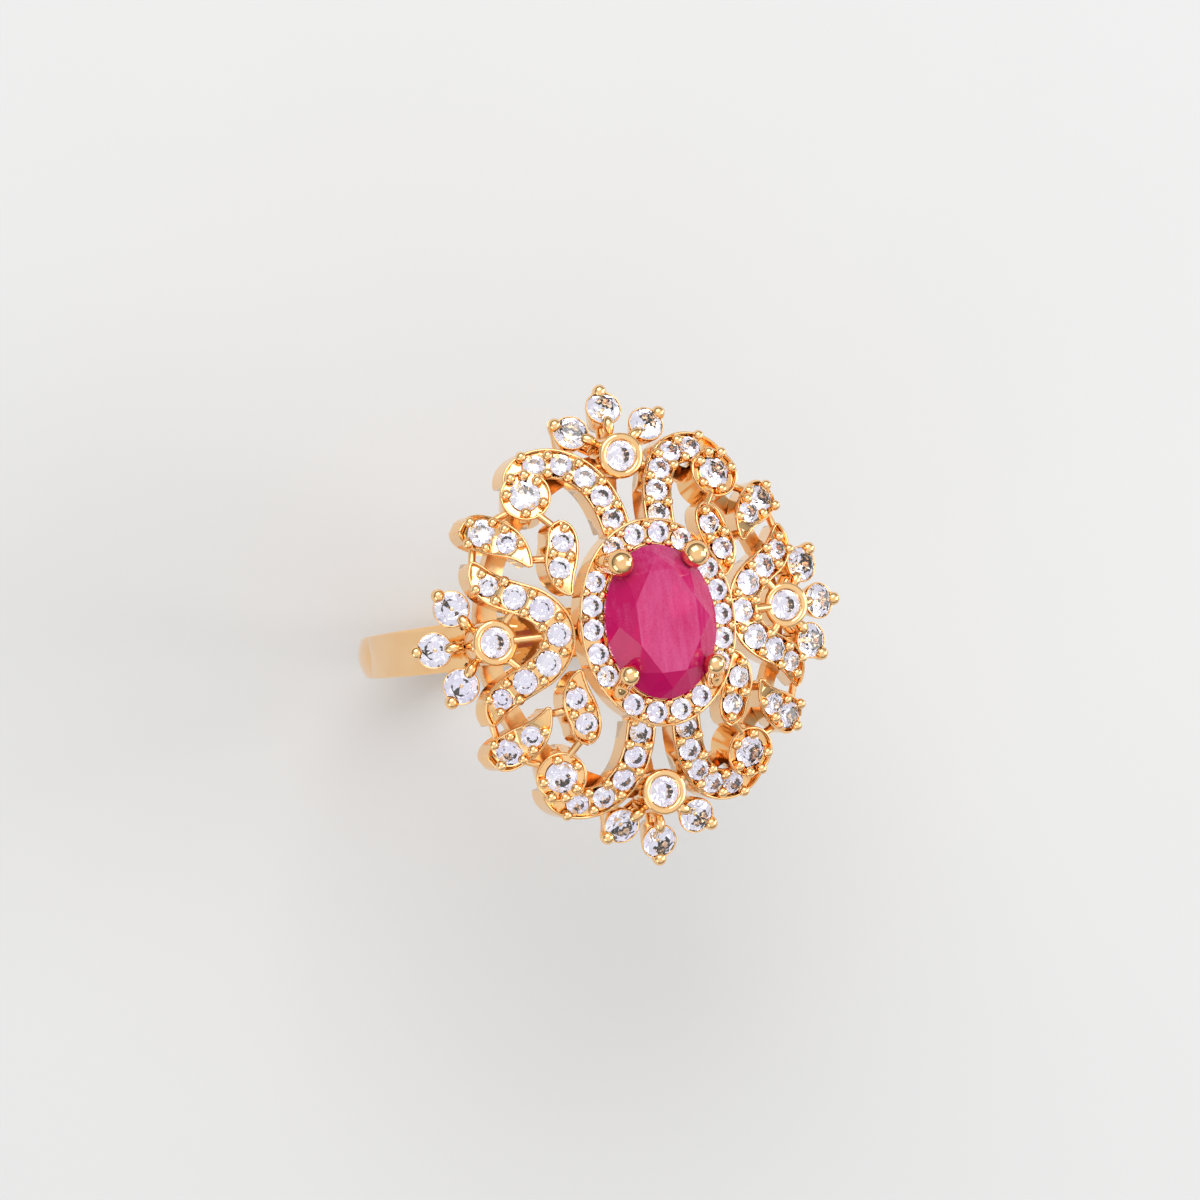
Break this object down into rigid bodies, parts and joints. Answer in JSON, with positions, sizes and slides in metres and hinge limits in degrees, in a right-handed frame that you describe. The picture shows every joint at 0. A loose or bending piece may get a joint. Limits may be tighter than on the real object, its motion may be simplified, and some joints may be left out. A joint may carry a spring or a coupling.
{
  "type": "cocktail ring",
  "caption": "Openwork domed cocktail ring: oval ruby in a round-stone halo, scrolls, leaves, chevrons and claw clusters on a plain polished band.",
  "frame": {"origin": "centre of the finger hole", "axes": "+Y along the finger, +X to the east side of the head, +Z out of the head through the ruby"},
  "size_m": [0.0238, 0.0254, 0.0308],
  "materials": {
    "gold": "polished yellow gold plating",
    "white_stone": "faceted colourless stone",
    "ruby": "faceted milky ruby"
  },
  "bodies": {
    "root": {"shank": "gold", "shoulder_e": "gold", "shoulder_w": "gold", "gallery_rail": "gold", "gallery_ribs": "gold", "centre_basket": "gold", "halo_frame": "gold", "link_wires": "gold", "scroll_ne": "gold", "outer_leaf_ne": "gold", "inner_leaf_ne": "gold", "scroll_nw": "gold", "outer_leaf_nw": "gold", "inner_leaf_nw": "gold", "scroll_se": "gold", "outer_leaf_se": "gold", "inner_leaf_se": "gold", "scroll_sw": "gold", "outer_leaf_sw": "gold", "inner_leaf_sw": "gold", "chevron_e": "gold", "chevron_w": "gold", "bezel_cup_n": "gold", "fleur_cups_n": "gold", "bezel_cup_e": "gold", "fleur_cups_e": "gold", "bezel_cup_s": "gold", "fleur_cups_s": "gold", "bezel_cup_w": "gold", "fleur_cups_w": "gold", "halo_stones": "white_stone", "scroll_end_stones": "white_stone", "outer_leaf_stones": "white_stone", "inner_leaf_stones": "white_stone", "bezel_stones": "white_stone", "chevron_stones_e": "white_stone", "chevron_stones_w": "white_stone", "scroll_stones_ne": "white_stone", "scroll_stones_nw": "white_stone", "scroll_stones_se": "white_stone", "scroll_stones_sw": "white_stone", "fleur_stones_n": "white_stone", "fleur_stones_e": "white_stone", "fleur_stones_s": "white_stone", "fleur_stones_w": "white_stone", "centre_ruby": "ruby"}
  },
  "joints": []
}
